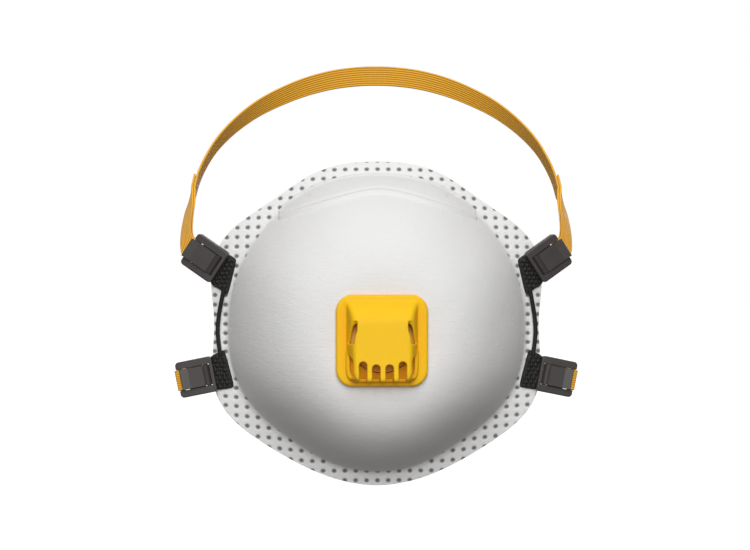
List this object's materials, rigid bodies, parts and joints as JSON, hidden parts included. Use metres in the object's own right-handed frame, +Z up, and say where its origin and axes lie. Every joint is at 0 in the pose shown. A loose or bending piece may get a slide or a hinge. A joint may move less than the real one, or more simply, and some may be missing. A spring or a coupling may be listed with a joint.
{
  "type": "disposable dust mask",
  "caption": "Moulded cup dust mask with exhalation valve, embossed flange, nose band, lever buckles and two elastic head straps.",
  "frame": {"origin": "centre of the face opening, in the plane of the rim", "axes": "+Y towards the wearer, -Y out of the front of the mask, +Z up, +X to the right seen from the front"},
  "size_m": [0.1728, 0.1711, 0.1836],
  "materials": {
    "outer_web": "matt moulded nonwoven",
    "filter_web": "soft fibre web",
    "inner_web": "matt moulded nonwoven",
    "clip_metal": "rolled strip",
    "nose_foam": "open cell foam",
    "valve_plastic": "satin moulded",
    "seat_plastic": "satin moulded",
    "flap_rubber": "thin silicone",
    "pad_rubber": "knobbly",
    "buckle_plastic": "satin moulded",
    "strand_elastic": "round elastic thread",
    "strap_elastic": "ribbed woven elastic"
  },
  "bodies": {
    "root": {"outer_shell": "outer_web", "filter_layer": "filter_web", "inner_shell": "inner_web", "nose_clip": "clip_metal", "nose_foam": "nose_foam", "valve_cover": "valve_plastic", "valve_seat": "seat_plastic", "diaphragm_clip": "seat_plastic", "upper_left_pad": "pad_rubber", "upper_left_buckle_frame": "buckle_plastic", "upper_right_pad": "pad_rubber", "upper_right_buckle_frame": "buckle_plastic", "lower_left_pad": "pad_rubber", "lower_left_buckle_frame": "buckle_plastic", "lower_right_pad": "pad_rubber", "lower_right_buckle_frame": "buckle_plastic", "left_link_strand": "strand_elastic", "right_link_strand": "strand_elastic", "crown_strap": "strap_elastic", "neck_strap": "strap_elastic"},
    "upper_left_lever": {"upper_left_buckle_lever": "buckle_plastic"},
    "upper_right_lever": {"upper_right_buckle_lever": "buckle_plastic"},
    "lower_left_lever": {"lower_left_buckle_lever": "buckle_plastic"},
    "lower_right_lever": {"lower_right_buckle_lever": "buckle_plastic"},
    "valve_flap": {"valve_diaphragm": "flap_rubber"}
  },
  "joints": [
    {"name": "upper_left_lever_hinge", "type": "hinge", "parent": "root", "child": "upper_left_lever", "pos_m": [-0.06925, 0.00095, 0.02532], "axis": [0.5402, -0.1404, 0.8297], "range_deg": [0, 60]},
    {"name": "upper_right_lever_hinge", "type": "hinge", "parent": "root", "child": "upper_right_lever", "pos_m": [0.06925, 0.00095, 0.02532], "axis": [0.5402, 0.1404, -0.8297], "range_deg": [0, 60]},
    {"name": "lower_left_lever_hinge", "type": "hinge", "parent": "root", "child": "lower_left_lever", "pos_m": [-0.07217, 0.00317, -0.02164], "axis": [-0.1966, 0.0354, 0.9799], "range_deg": [0, 60]},
    {"name": "lower_right_lever_hinge", "type": "hinge", "parent": "root", "child": "lower_right_lever", "pos_m": [0.07217, 0.00317, -0.02164], "axis": [-0.1966, -0.0354, -0.9799], "range_deg": [0, 60]},
    {"name": "valve_flap_hinge", "type": "hinge", "parent": "root", "child": "valve_flap", "pos_m": [0, -0.0493, 0.00372], "axis": [-1, 0, 0], "range_deg": [0, 15], "stiffness_Nm_per_rad": 0.0003, "springref_deg": -5.73}
  ]
}
